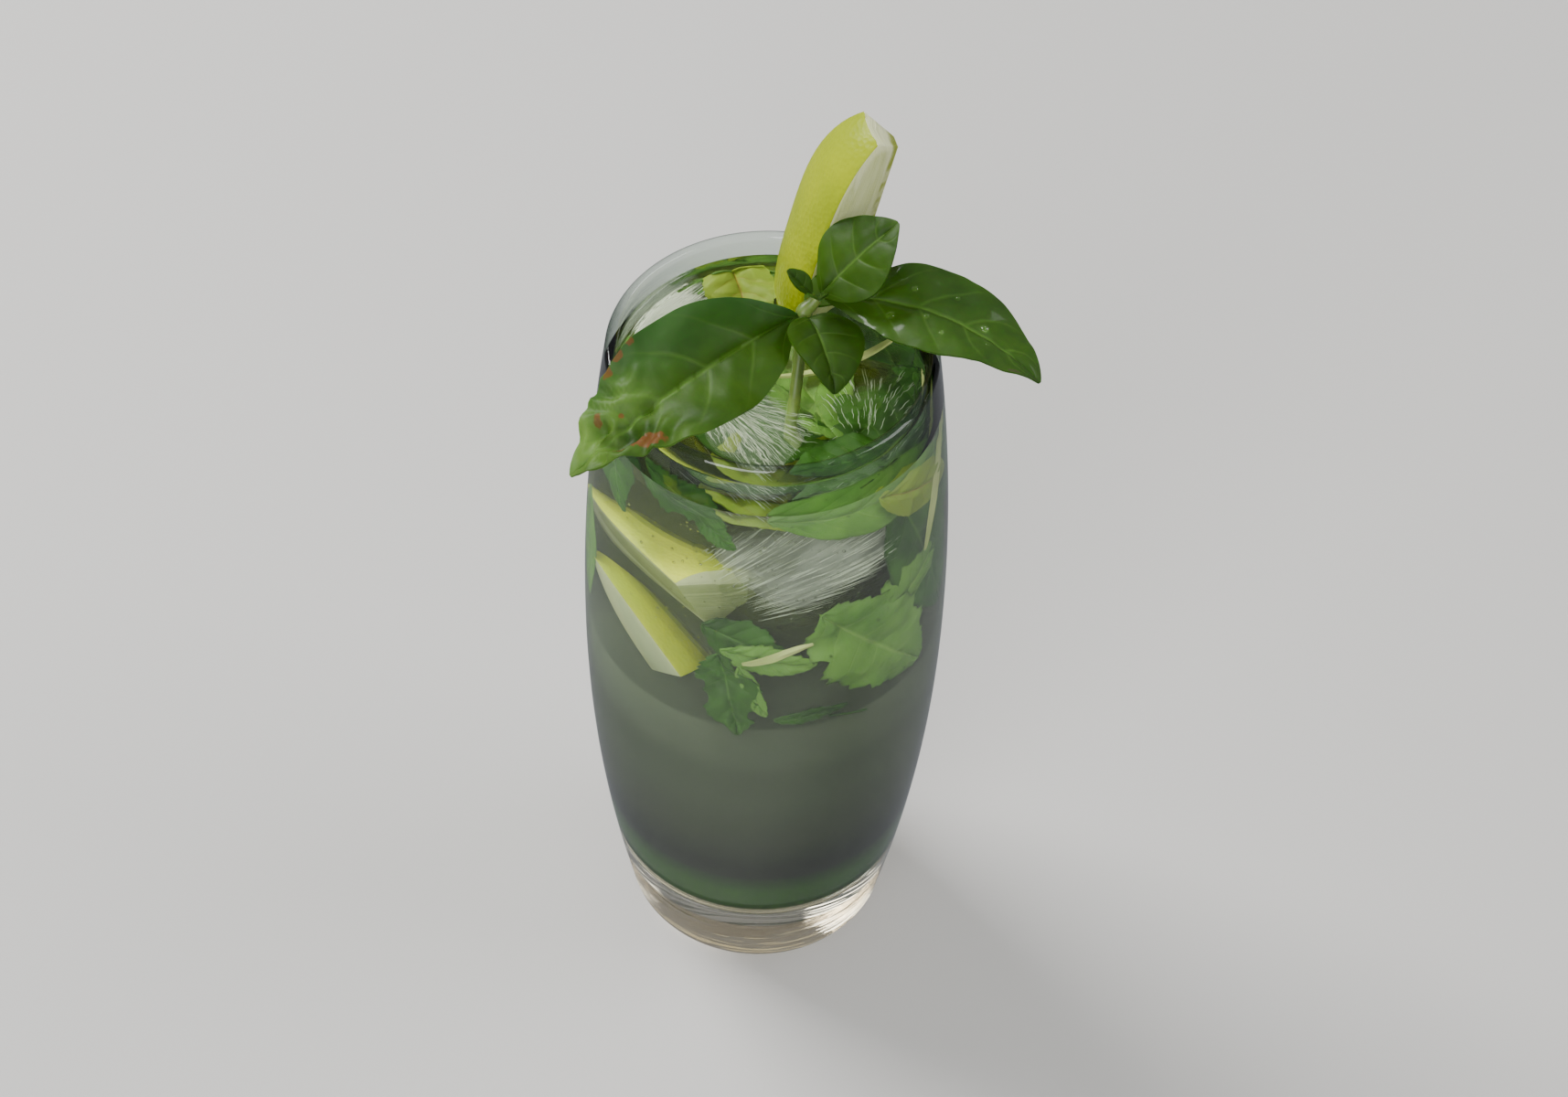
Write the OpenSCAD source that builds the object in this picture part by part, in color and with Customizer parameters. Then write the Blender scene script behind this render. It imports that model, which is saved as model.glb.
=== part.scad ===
// Mojito in a barrel-shaped highball glass, with a lime wedge and a basil sprig.
// Millimetres. +Z is up. The origin is the centre of the glass's flat foot.

/* [Glass] */
// Height of the glass from the foot to the lip
glass_height = 150; // [120:1:180]
// Widest diameter of the barrel
belly_diameter = 67; // [60:0.5:76]
// Height of the widest place above the foot
belly_height = 85; // [70:1:100]
// Outer diameter at the lip
rim_diameter = 58.4; // [54:0.2:66]
// Outer diameter just above the foot
base_diameter = 49; // [42:0.5:58]
// Thickness of the wall
wall = 2.2; // [1.6:0.1:3]
// Thickness of the solid base
base_thickness = 17; // [10:0.5:24]
// Radius of the rounded edge round the foot
heel_radius = 4; // [2:0.5:6]
// Radius of the hollow's rounded bottom corner
hollow_corner = 8; // [4:0.5:12]

/* [Drink] */
// Distance from the lip down to the drink's surface
drink_below_lip = 6; // [5:0.5:20]

/* [Lime wedge] */
// Length of the whole lime that the wedge was cut from
lime_length = 62; // [50:1:75]
// Diameter of the whole lime
lime_diameter = 32; // [28:1:40]
// Angle between the two cut faces
wedge_angle = 56; // [35:1:75]
// Width of core cut away along the inner edge
core_trim = 2.5; // [1:0.5:5]
// Part of the lime's length cut off at the stem end
stem_end_trim = 4.5; // [0:0.5:8]
// Slope of that cut, which is lower at the core than at the rind
stem_end_slope = 31; // [0:1:40]
// Length of wedge that stands above the lip
lime_above_lip = 31.5; // [20:0.5:40]
// Lean away from upright
lime_lean = 11.5; // [0:0.5:20]
// Direction round the glass that the rind faces
lime_facing = 197; // [180:1:220]

/* [Basil sprig] */
// Thickness of a leaf
leaf_thickness = 0.7; // [0.5:0.1:1.2]
// Diameter of the stem
stem_diameter = 2.4; // [1.6:0.1:3.2]
// Height of the stem's joint above the lip
joint_above_lip = 6.5; // [5:0.5:15]
// Length of stem below the drink's surface
stem_sunk = 24; // [5:1:40]
// Length and width of the left leaf, which hangs over the lip
left_leaf_size = [50.5, 24]; // [4:0.5:70]
// Length and width of the right leaf
right_leaf_size = [42, 19.5]; // [4:0.5:60]
// Length and width of the upright leaf in front of the lime
back_leaf_size = [19, 15.5]; // [4:0.5:40]
// Length and width of the leaf that hangs towards the front
front_leaf_size = [15, 15]; // [4:0.5:30]
// Length and width of the small leaf behind the right one
rear_leaf_size = [16, 8]; // [4:0.5:30]
// Length and width of each bud leaf
bud_leaf_size = [6, 4]; // [2:0.5:12]

/* [Hidden] */
$fn = 96;

// Clearances between pieces that touch
drink_clearance = 0.05;
garnish_clearance = 0.05;
leaf_clearance = 0.1;

belly_radius = belly_diameter / 2;
rim_radius = rim_diameter / 2;
base_radius = base_diameter / 2;
lip_radius = wall / 2;
drink_level = glass_height - drink_below_lip;

// The barrel narrows more sharply towards the foot than towards the lip
foot_curve = 2.1;
lip_curve = 2;
wall_steps = 24;
corner_steps = 6;

// The lime is blunter than an ellipse
lime_bluntness = 3.2;
lime_steps = 20;
lime_radius = lime_diameter / 2;
half_wedge = wedge_angle / 2;
lime_lean_direction = 8;
// Distance from the core at which the stem end's trim is measured
stem_end_middle = 6.5;
// The core edge rests on the inside of the lip here
lime_rest_direction = 56.5;
lime_rest_radius = rim_radius - wall - 0.9;
lime_rest = lime_rest_radius * [cos(lime_rest_direction), sin(lime_rest_direction)];
cutter = 4 * lime_length;

// Leaf outline: widest nearer the stem, with a fine point
leaf_steps = 16;
leaf_strips = 8;
leaf_end = 0.4;
leaf_roundness = 0.85;

joint_radius = stem_diameter / 2 + 0.4;
crown_radius = stem_diameter / 2;
// The sprig stands in front of the lime wedge and moves with it
joint = [lime_rest[0] - 9.1, lime_rest[1] - 19.4, glass_height + joint_above_lip];
crown = joint + [2.1, 1.2, 2.1];
stem_entry = [joint[0] - 1.1, joint[1] - 7.7, drink_level];
stem_down = (stem_entry - joint) / norm(stem_entry - joint);
stem_foot = stem_entry + stem_down * stem_sunk;

glass_colour = [0.85, 0.92, 0.9, 0.35];
drink_colour = [0.55, 0.62, 0.42, 0.7];
rind_colour = [0.68, 0.76, 0.12];
leaf_colour = [0.16, 0.36, 0.1];
stem_colour = [0.45, 0.58, 0.25];

// ---- Glass and drink -------------------------------------------------------

function outer_radius(z) = z < belly_height
    ? belly_radius - (belly_radius - base_radius) * pow((belly_height - z) / belly_height, foot_curve)
    : belly_radius - (belly_radius - rim_radius)
        * pow((z - belly_height) / (glass_height - belly_height), lip_curve);

function inner_radius(z) = outer_radius(z) - wall;

function arc(centre, radius, from, to, steps) =
    [for (i = [0:steps]) centre + radius * [cos(from + (to - from) * i / steps),
                                            sin(from + (to - from) * i / steps)]];

// Outside of the glass from the foot up to where the lip's rounding starts
function outside_wall() =
    let (top = glass_height - lip_radius)
    [for (i = [0:wall_steps])
        let (z = heel_radius + (top - heel_radius) * i / wall_steps)
        [outer_radius(z), z]];

// Inside of the hollow from the centre of its floor up to a height
function hollow_outline(top, gap) =
    let (floor_z = base_thickness + gap,
         corner_z = base_thickness + hollow_corner,
         corner_x = inner_radius(corner_z) - hollow_corner)
    concat([[0, floor_z]],
           arc([corner_x, corner_z], hollow_corner - gap, -90, 0, corner_steps),
           [for (i = [1:wall_steps])
               let (z = corner_z + (top - corner_z) * i / wall_steps)
               [inner_radius(z) - gap, z]]);

function reversed(list) = [for (i = [len(list) - 1:-1:0]) list[i]];

function slice(list, first) = [for (i = [first:len(list) - 1]) list[i]];

module glass() {
    lip_z = glass_height - lip_radius;
    heel = arc([outer_radius(heel_radius) - heel_radius, heel_radius], heel_radius, -90, 0,
               corner_steps);
    lip = arc([outer_radius(lip_z) - lip_radius, lip_z], lip_radius, 0, 180, 2 * corner_steps);
    inside = reversed(hollow_outline(lip_z, 0));
    color(glass_colour)
        rotate_extrude()
            polygon(concat([[0, 0]], heel, slice(outside_wall(), 1), slice(lip, 1),
                           slice(inside, 1)));
}

module drink() {
    color(drink_colour)
        difference() {
            rotate_extrude()
                polygon(concat(hollow_outline(drink_level, drink_clearance), [[0, drink_level]]));
            lime_place()
                lime_body(garnish_clearance);
            stem_sticks(garnish_clearance);
        }
}

// ---- Lime wedge ------------------------------------------------------------

function lime_profile(along) = lime_radius * sqrt(1 - pow(abs(2 * along - 1), lime_bluntness));

// A wedge of the whole lime, grown all round by gap. Its core runs along Z and its rind faces +X.
module lime_body(gap) {
    spread = gap / sin(half_wedge);
    outline = [for (i = [0:lime_steps])
        let (along = (1 - cos(180 * i / lime_steps)) / 2)
        [lime_profile(along) + (i == 0 || i == lime_steps ? 0 : gap + spread),
         (lime_length + 2 * gap) * along - gap]];
    difference() {
        translate([-spread, 0, 0])
            rotate([0, 0, -half_wedge])
                rotate_extrude(angle = wedge_angle)
                    polygon(outline);
        translate([core_trim - gap - cutter, -cutter / 2, -cutter / 4])
            cube(cutter);
        translate([stem_end_middle, 0, lime_length - stem_end_trim + gap])
            rotate([0, -stem_end_slope, 0])
                translate([-cutter / 2, -cutter / 2, 0])
                    cube(cutter);
    }
}

// Stands the wedge in the glass with its core edge against the lip
module lime_place() {
    translate([lime_rest[0], lime_rest[1], glass_height])
        rotate([0, lime_lean, lime_lean_direction])
            rotate([0, 0, lime_facing - lime_lean_direction])
                translate([-core_trim, 0, lime_above_lip + stem_end_trim - lime_length])
                    children();
}

module lime_wedge() {
    color(rind_colour)
        lime_place()
            lime_body(0);
}

// ---- Basil sprig -----------------------------------------------------------

module stick(from, to, radius) {
    way = to - from;
    translate(from)
        rotate([0, acos(way[2] / norm(way)), atan2(way[1], way[0])])
            cylinder(h = norm(way), r = radius);
}

module stem_sticks(gap) {
    stick(joint, stem_foot + stem_down * gap, stem_diameter / 2 + gap);
}

module stem() {
    color(stem_colour)
        union() {
            stem_sticks(0);
            stick(joint, crown, crown_radius);
            translate(joint)
                sphere(r = joint_radius);
            translate(crown)
                sphere(r = crown_radius);
        }
}

function direction(heading, pitch) =
    [cos(pitch) * cos(heading), cos(pitch) * sin(heading), sin(pitch)];

// Half the leaf's width at a share of its length. Fullness moves the widest place to the tip.
function half_width(share, width, fullness) = share <= 0 || share >= 1
    ? leaf_end
    : leaf_end + (width / 2 - leaf_end) * pow(sin(180 * pow(share, fullness)), leaf_roundness);

// A leaf from the surface of a round joint, along a midrib that turns and droops.
// aim is [heading, rise, roll] at the stem, bend is how much each changes by the tip,
// and form is [fold of each half upwards, fullness].
module leaf(size, aim, bend, form, from, radius) {
    step = size[0] / leaf_steps;
    start = from + (radius + leaf_clearance) * direction(aim[0], aim[1]);
    midrib = [for (i = 0, at = start; i <= leaf_steps;
                   at = at + step * direction(aim[0] + bend[0] * (i + 0.5) / leaf_steps,
                                              aim[1] + bend[1] * (i + 0.5) / leaf_steps),
                   i = i + 1) at];
    // One row of points across the leaf at each station, on one side of its thickness
    function row(i, side) =
        let (share = i / leaf_steps,
             heading = aim[0] + bend[0] * share,
             roll = aim[2] + bend[2] * share,
             forward = direction(heading, aim[1] + bend[1] * share),
             level = [-sin(heading), cos(heading), 0],
             above = cross(forward, level),
             across = level * cos(roll) + above * sin(roll),
             up = above * cos(roll) - level * sin(roll),
             half = half_width(share, size[1], form[1]))
        [for (j = [0:leaf_strips])
            let (u = 2 * j / leaf_strips - 1)
            midrib[i] + across * (u * half * cos(form[0]))
                + up * (abs(u) * half * sin(form[0]) + side * leaf_thickness / 2)];
    columns = leaf_strips + 1;
    rows = leaf_steps + 1;
    points = concat([for (i = [0:leaf_steps]) each row(i, 1)],
                    [for (i = [0:leaf_steps]) each row(i, -1)]);
    under = rows * columns;
    last = leaf_strips;
    tip = leaf_steps * columns;
    color(leaf_colour)
        polyhedron(points = points, faces = concat(
            [for (i = [0:leaf_steps - 1], j = [0:leaf_strips - 1])
                let (a = i * columns + j)
                each [[a, a + 1, a + columns + 1], [a, a + columns + 1, a + columns]]],
            [for (i = [0:leaf_steps - 1], j = [0:leaf_strips - 1])
                let (a = under + i * columns + j)
                each [[a, a + columns + 1, a + 1], [a, a + columns, a + columns + 1]]],
            [for (i = [0:leaf_steps - 1])
                let (a = i * columns, b = a + columns)
                each [[a, b, b + under], [a, b + under, a + under],
                      [a + last, b + last + under, b + last],
                      [a + last, a + last + under, b + last + under]]],
            [for (j = [0:leaf_strips - 1])
                each [[j, j + under, j + 1 + under], [j, j + 1 + under, j + 1],
                      [tip + j, tip + j + 1 + under, tip + j + under],
                      [tip + j, tip + j + 1, tip + j + 1 + under]]]));
}

module leaf_left() {
    leaf(left_leaf_size, [224, 9, -44], [-10, -40, 62], [16, 1], joint, joint_radius);
}

module leaf_right() {
    leaf(right_leaf_size, [-3, 12, 24], [-42, -30, -50], [5, 1.08], crown, crown_radius);
}

module leaf_back() {
    leaf(back_leaf_size, [14, 56, 20], [14, -26, -14], [4, 0.95], crown, crown_radius);
}

module leaf_front() {
    leaf(front_leaf_size, [-62, 2, -10], [-14, -52, -20], [14, 0.74], joint, joint_radius);
}

module leaf_rear() {
    leaf(rear_leaf_size, [66, -10, 4], [-70, 20, 4], [6, 0.95], joint, joint_radius);
}

module bud_left() {
    leaf(bud_leaf_size, [160, 40, 0], [-10, -6, 0], [20, 0.95], crown, crown_radius);
}

module bud_right() {
    leaf(bud_leaf_size, [270, 50, 0], [10, -14, 0], [20, 0.95], crown, crown_radius);
}

glass();
drink();
lime_wedge();
stem();
leaf_left();
leaf_right();
leaf_back();
leaf_front();
leaf_rear();
bud_left();
bud_right();
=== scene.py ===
"""Looks of a mojito in a barrel-shaped highball glass, built round its fixed CAD frame."""

import math
import random
from functools import partial

import bmesh
import bpy
from mathutils import Matrix, Vector, noise


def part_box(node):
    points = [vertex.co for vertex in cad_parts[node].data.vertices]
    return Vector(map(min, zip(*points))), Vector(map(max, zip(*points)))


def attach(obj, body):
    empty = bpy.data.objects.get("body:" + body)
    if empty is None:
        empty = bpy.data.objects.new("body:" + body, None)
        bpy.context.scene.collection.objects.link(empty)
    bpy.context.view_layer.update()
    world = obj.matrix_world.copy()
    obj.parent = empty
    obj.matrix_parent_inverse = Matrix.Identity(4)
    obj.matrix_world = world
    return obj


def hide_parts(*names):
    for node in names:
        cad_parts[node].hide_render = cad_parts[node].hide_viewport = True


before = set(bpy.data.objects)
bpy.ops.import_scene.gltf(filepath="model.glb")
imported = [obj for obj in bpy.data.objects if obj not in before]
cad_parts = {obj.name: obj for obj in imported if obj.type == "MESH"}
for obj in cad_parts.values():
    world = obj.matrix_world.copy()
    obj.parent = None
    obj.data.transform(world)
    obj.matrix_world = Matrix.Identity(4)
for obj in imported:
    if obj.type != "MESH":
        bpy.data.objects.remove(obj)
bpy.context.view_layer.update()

bl_info = {
    "name": "Mojito",
    "version": (1, 0, 0),
    "blender": (4, 5, 0),
    "location": "View3D > Sidebar > Mojito",
    "description": "Builds a mojito with its glass, drink, ice, lime wedges and basil sprig",
    "category": "Object",
}

MM = 0.001
BODY = "root"

# The glass, in millimetres. Its height, widest place and drink level come from the frame.
GLASS_LOW, GLASS_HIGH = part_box("glass")
GLASS_HEIGHT = (GLASS_HIGH[2] - GLASS_LOW[2]) / MM
BELLY_RADIUS = (GLASS_HIGH[0] - GLASS_LOW[0]) / 2 / MM
DRINK_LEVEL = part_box("drink")[1][2] / MM
BELLY_HEIGHT = 85.0
RIM_RADIUS = 29.2
BASE_RADIUS = 24.5
WALL = 2.2
BASE_THICKNESS = 17.0
HEEL_RADIUS = 4.0
HOLLOW_CORNER = 8.0
FOOT_CURVE = 2.1
LIP_CURVE = 2.0
LIP_RADIUS = WALL / 2
# Heights between which the cloudy depth draws in, to leave room for the floating pieces
HAZE_LOW, HAZE_HIGH = 70.0, 92.0
# How much higher the cloudy depth reaches at the back than in front
HAZE_BACK_RISE = 6.0
# Clear depth behind the back wall, where leaves lie flat against it
HAZE_BACK_DEPTH = 2.6


# ---- Helpers ----------------------------------------------------------------


def linear(colour):
    """Turns an sRGB hex colour into linear RGBA."""
    channels = [int(colour[i:i + 2], 16) / 255 for i in (1, 3, 5)]
    return [c / 12.92 if c <= 0.04045 else ((c + 0.055) / 1.055) ** 2.4 for c in channels] + [1.0]


def add_node(tree, kind, *values, output=0, **settings):
    """Adds a shader node with its settings, its input values and links, and gives one output.

    A kind may carry its operation, as in "Math ADD". Values fill the inputs in order, or one dict
    fills them by name or number. A value is a number, a hex colour or another node's output.
    """
    kind, _, operation = kind.partition(" ")
    made = tree.nodes.new("ShaderNode" + kind)
    if operation:
        made.operation = operation
    for name, value in settings.items():
        setattr(made, name, value)
    inputs = values[0] if values and isinstance(values[0], dict) else dict(enumerate(values))
    for socket, value in inputs.items():
        if isinstance(value, bpy.types.NodeSocket):
            tree.links.new(value, made.inputs[socket])
        else:
            made.inputs[socket].default_value = linear(value) if isinstance(value, str) else value
    return made.outputs[output] if made.outputs else made


def new_material(name):
    """Starts an empty material. Gives it, and the function that adds nodes to it."""
    material = bpy.data.materials.new(name)
    material.use_nodes = True
    material.node_tree.nodes.clear()
    return material, partial(add_node, material.node_tree)


def painted(node, colour, *coats):
    """Lays coats over a colour. Each coat is its share and its own colour."""
    for share, coat in coats:
        colour = node("Mix", {0: share, 6: colour, 7: coat}, output=2, data_type="RGBA")
    return colour


def cloudy(node, colour, opacity=None):
    """A soft cloud that sends half of its light onwards, thinned where it has an opacity."""
    cloud = node("MixShader", 0.5, node("BsdfDiffuse", colour), node("BsdfTranslucent", colour))
    if opacity is None:
        return cloud
    return node("MixShader", opacity, node("BsdfTransparent"), cloud)


def deselect():
    """Clears the selection, which the frame leaves full."""
    bpy.ops.object.select_all(action="DESELECT")


def edit_all():
    """Goes into edit mode with the whole mesh selected."""
    bpy.ops.object.mode_set(mode="EDIT")
    bpy.ops.mesh.select_all(action="SELECT")


def make_active(piece):
    deselect()
    piece.select_set(True)
    bpy.context.view_layer.objects.active = piece


def apply_modifier(piece, kind, **settings):
    """Adds one modifier and applies it."""
    make_active(piece)
    modifier = piece.modifiers.new(kind.title(), kind)
    for name, value in settings.items():
        setattr(modifier, name, value)
    bpy.ops.object.modifier_apply(modifier=modifier.name)


def finish_piece(piece, material, smooth_angle=math.radians(40), replaces=()):
    """Gives the piece its finish and smooth shading, rides it on the glass and hides what it stands for."""
    for one in material if isinstance(material, (list, tuple)) else (material,):
        piece.data.materials.append(one)
    make_active(piece)
    bpy.ops.object.shade_smooth_by_angle(angle=smooth_angle)
    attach(piece, BODY)
    if replaces:
        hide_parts(*replaces)
    return piece


def outer_radius(z):
    """Outside radius of the glass at a height, in millimetres."""
    if z < BELLY_HEIGHT:
        share = (BELLY_HEIGHT - z) / BELLY_HEIGHT
        return BELLY_RADIUS - (BELLY_RADIUS - BASE_RADIUS) * share ** FOOT_CURVE
    share = (z - BELLY_HEIGHT) / (GLASS_HEIGHT - BELLY_HEIGHT)
    return BELLY_RADIUS - (BELLY_RADIUS - RIM_RADIUS) * share ** LIP_CURVE


def inside_radius(z):
    return outer_radius(z) - WALL


def kept_inside(place, gap=0.9):
    """Moves a place in millimetres back inside the wall and under the surface."""
    z = min(place.z, DRINK_LEVEL - 0.5)
    most = inside_radius(z) - gap
    radius = math.hypot(place.x, place.y)
    share = min(1.0, most / radius) if radius else 1.0
    return Vector((place.x * share, place.y * share, z))


def arc(centre, radius, start, end, steps):
    """Points along an arc in the radius and height plane, angles in degrees."""
    angles = [math.radians(start + (end - start) * i / steps) for i in range(steps + 1)]
    return [(centre[0] + radius * math.cos(a), centre[1] + radius * math.sin(a)) for a in angles]


def hollow_outline(top, inset, steps=48):
    """The hollow's outline from its floor to a height, moved inwards by inset."""
    corner_z = BASE_THICKNESS + HOLLOW_CORNER
    corner = max(HOLLOW_CORNER - inset, 0.5)
    corner_x = outer_radius(corner_z) - WALL - inset - corner
    points = arc((corner_x, BASE_THICKNESS + inset + corner), corner, -90, 0, 10)
    low = points[-1][1]
    for i in range(1, steps + 1):
        z = low + (top - low) * i / steps
        points.append((outer_radius(z) - WALL - inset, z))
    return points


def smooth_step(value, low, high):
    share = min(max((value - low) / (high - low), 0.0), 1.0)
    return share * share * (3 - 2 * share)


def draw_in_haze(piece, top, low_inset, high_inset):
    """Draws the cloudy depth in where pieces float: high up and in front. At the back it rises."""
    for vertex in piece.data.vertices:
        x, y, z = vertex.co / MM
        radius = math.hypot(x, y)
        if radius < 0.01:
            continue
        front = 1 - smooth_step(y / radius, -0.30, 0.35)
        share = smooth_step(z, HAZE_LOW, HAZE_HIGH)
        depth = (high_inset - low_inset) * front + HAZE_BACK_DEPTH * (1 - front)
        drawn = max(radius - depth * share, radius * 0.2)
        rise = HAZE_BACK_RISE * (1 - front) * max(0.0, z - HAZE_HIGH) / (top - HAZE_HIGH)
        vertex.co = Vector((x * drawn / radius, y * drawn / radius, z + rise)) * MM


def turned(name, outline, segments=128):
    """Turns an outline of (radius, height) by extruding and scaling ring after ring."""
    deselect()
    radius, height = outline[0]
    bpy.ops.mesh.primitive_circle_add(vertices=segments, radius=radius * MM, fill_type="NGON",
                                      location=(0, 0, height * MM))
    piece = bpy.context.object
    bpy.ops.object.transform_apply(location=True)
    edit_all()
    bpy.ops.mesh.select_mode(type="FACE")
    for next_radius, next_height in outline[1:]:
        bpy.ops.mesh.extrude_region_move(
            TRANSFORM_OT_translate={"value": (0, 0, (next_height - height) * MM)})
        scale = next_radius / radius
        bpy.ops.transform.resize(value=(scale, scale, 1), center_override=(0, 0, next_height * MM))
        radius, height = next_radius, next_height
    bpy.ops.mesh.select_all(action="SELECT")
    bpy.ops.mesh.normals_make_consistent(inside=False)
    bpy.ops.object.mode_set(mode="OBJECT")
    piece.name = piece.data.name = name
    return piece


def placed(axis, facing, at):
    """Matrix that puts a piece's Z along axis and its X towards facing, at a place in mm."""
    z = Vector(axis).normalized()
    x = Vector(facing)
    x = (x - z * x.dot(z)).normalized()
    y = z.cross(x)
    turn = Matrix((x, y, z)).transposed().to_4x4()
    return Matrix.Translation(Vector(at) * MM) @ turn


def bake_place(piece, matrix):
    """Moves the mesh itself, so that the object stays at the origin."""
    piece.data.transform(matrix)
    piece.matrix_world = Matrix.Identity(4)


def joined(name, pieces):
    """Joins pieces into one object with one mesh."""
    make_active(pieces[0])
    for piece in pieces:
        piece.select_set(True)
    if len(pieces) > 1:
        bpy.ops.object.join()
    pieces[0].name = pieces[0].data.name = name
    return pieces[0]


def copies(name, template, places):
    """One mesh made of a template copied to each matrix. The template is removed."""
    mesh = bmesh.new()
    for matrix in places:
        before = len(mesh.verts)
        mesh.from_mesh(template.data)
        mesh.verts.ensure_lookup_table()
        bmesh.ops.transform(mesh, matrix=matrix, verts=mesh.verts[before:])
    data = bpy.data.meshes.new(name)
    mesh.to_mesh(data)
    mesh.free()
    bpy.data.objects.remove(template, do_unlink=True)
    piece = bpy.data.objects.new(name, data)
    bpy.context.collection.objects.link(piece)
    return piece


# ---- Settings ---------------------------------------------------------------


def hex_setting(name, description, default):
    return bpy.props.StringProperty(name=name, description=description, default=default)


class MojitoGlassSettings(bpy.types.PropertyGroup):
    """Glass and drink."""
    glass_tint: hex_setting("Glass tint", "Faint green of soda-lime glass", "#f6fbf8")
    drink_tint: hex_setting("Drink tint", "Clear part of the drink, near the wall", "#eef3e4")
    haze_colour: hex_setting("Haze colour", "Cloudy lime juice seen in depth", "#555d4b")
    # Painted light: lifts the drink lighter where the leaves shade it
    haze_shaded: hex_setting("Haze under the leaves", "Drink in the leaves' shade", "#737c64")
    haze_low: hex_setting("Haze, lower", "Drink half-way to the base", "#464b3d")
    haze_dark: hex_setting("Haze near the base", "Darker drink above the base", "#282c24")
    # Painted light: the leaves' green that the thick base shows at its top, given as a colour of the drink
    haze_green: hex_setting("Green ring", "Green ring that the base shows at its top", "#3c6424")
    haze_top: hex_setting("Haze under the surface", "Drink among the leaves", "#626f2e")
    # Painted light: the warm light that the thick base gathers from the table, given as its tint
    base_warm_light: hex_setting("Base tint", "Warm light in the thick base", "#f2dcae")
    lip_edge: hex_setting("Lip's edge", "Shade of the lip where it is seen edge on", "#566a5f")


class MojitoLimeSettings(bpy.types.PropertyGroup):
    """Lime wedges."""
    rind_colour: hex_setting("Rind", "Yellow-green rind", "#a6b202")
    rind_deep: hex_setting("Rind, deep", "Darker rind round the pores", "#87980a")
    pith_colour: hex_setting("Pith", "White under the rind", "#dcdfae")
    flesh_colour: hex_setting("Flesh", "Pale flesh", "#c2ca82")
    sunk_rind: hex_setting("Sunk rind", "Rind seen through the drink", "#a6a90c")
    sunk_flesh: hex_setting("Sunk flesh", "Flesh seen through the drink", "#b4bf90")
    sunk_rind_lit: hex_setting("Sunk rind, lit", "Rind of the upper sunk wedge", "#cfd02e")
    sunk_flesh_shaded: hex_setting("Sunk flesh, shaded", "Flesh of the upper sunk wedge", "#76843f")
    sunk_pith: hex_setting("Sunk pith", "Pith seen through the drink", "#c2c796")
    end_colour: hex_setting("Stem end", "Yellowish end under the stem", "#8f9a22")


class MojitoLeafSettings(bpy.types.PropertyGroup):
    """Basil and the sunk leaves."""
    basil_colour: hex_setting("Basil blade", "Upper side of a basil leaf", "#33500a")
    basil_deep: hex_setting("Basil, deep", "Darker places of the blade", "#233c08")
    basil_vein: hex_setting("Basil vein", "Veins and midrib", "#54762a")
    basil_pale: hex_setting("Basil, thin", "Thin crumpled part of the left leaf", "#668638")
    # Painted sheen: the bluer band that the left leaf's gloss shows along its upper edge
    basil_sheen: hex_setting("Basil, upper edge", "Bluer band along the left leaf's edge", "#2a4e20")
    bruise_colour: hex_setting("Bruise", "Rust-brown bruises", "#6b3a1c")
    sunk_colour: hex_setting("Sunk leaf", "Mint leaf in the drink", "#658c38")
    sunk_deep: hex_setting("Sunk leaf, deep", "Darker places of a mint leaf", "#456a26")
    # Painted shade for leaves deep in the drink's shade, and the own darker green of some leaves
    dark_colour: hex_setting("Dark leaf", "Leaf in the drink's shade", "#345f14")
    dark_deep: hex_setting("Dark leaf, deep", "Darker places of such a leaf", "#1a3608")
    pale_colour: hex_setting("Pale leaf", "Yellowing leaf in the drink", "#74881f")
    stem_colour: hex_setting("Stem", "Pale green stem", "#7c9440")


class MojitoStudioSettings(bpy.types.PropertyGroup):
    """Camera, floor and lights."""
    distance: bpy.props.FloatProperty(name="Camera distance", description="From the middle of the glass",
                                      default=0.75, unit="LENGTH")
    elevation: bpy.props.FloatProperty(name="Camera elevation", description="Height angle of the camera",
                                       default=math.radians(50.24), subtype="ANGLE")
    roll: bpy.props.FloatProperty(name="Camera roll", description="Turn of the camera about its view",
                                  default=math.radians(2.15), subtype="ANGLE")
    lens: bpy.props.FloatProperty(name="Lens", description="Focal length in millimetres", default=91.4)
    floor_colour: hex_setting("Floor", "Pale floor", "#c6c4c0")
    key_power: bpy.props.FloatProperty(name="Key light", description="Power in watts", default=26.0)


def settings(group):
    return getattr(bpy.context.scene, "mojito_" + group)


# ---- Glass and drink --------------------------------------------------------


# How strongly a clear face mirrors
WHITE, FAINT = (1.0, 1.0, 1.0, 1.0), (0.55, 0.55, 0.55, 1.0)
# Refraction: soda-lime glass, watery juice, water, ice in juice, and air in juice
GLASS_IOR, JUICE_IOR, WATER_IOR, ICE_IOR, AIR_IOR = 1.52, 1.34, 1.33, 1.1, 0.75


def clear_through(node, surface):
    """Lets lamps shine through a clear shell, as they do through real glass."""
    lit = node("LightPath", output="Is Shadow Ray")
    return node("MixShader", lit, surface, node("BsdfTransparent"))


def clear_body(name, tint, ior, gleam=WHITE, bump=None):
    """A clear, polished body. A faint gleam is for faces where liquid wets glass: they mirror less."""
    material, node = new_material(name)
    values = {"Base Color": tint, "Roughness": 0.0, "IOR": ior, "Transmission Weight": 1.0,
              "Specular Tint": gleam}
    if bump:
        values["Normal"] = bump(node)
    node("OutputMaterial", clear_through(node, node("BsdfPrincipled", values)))
    return material


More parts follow.
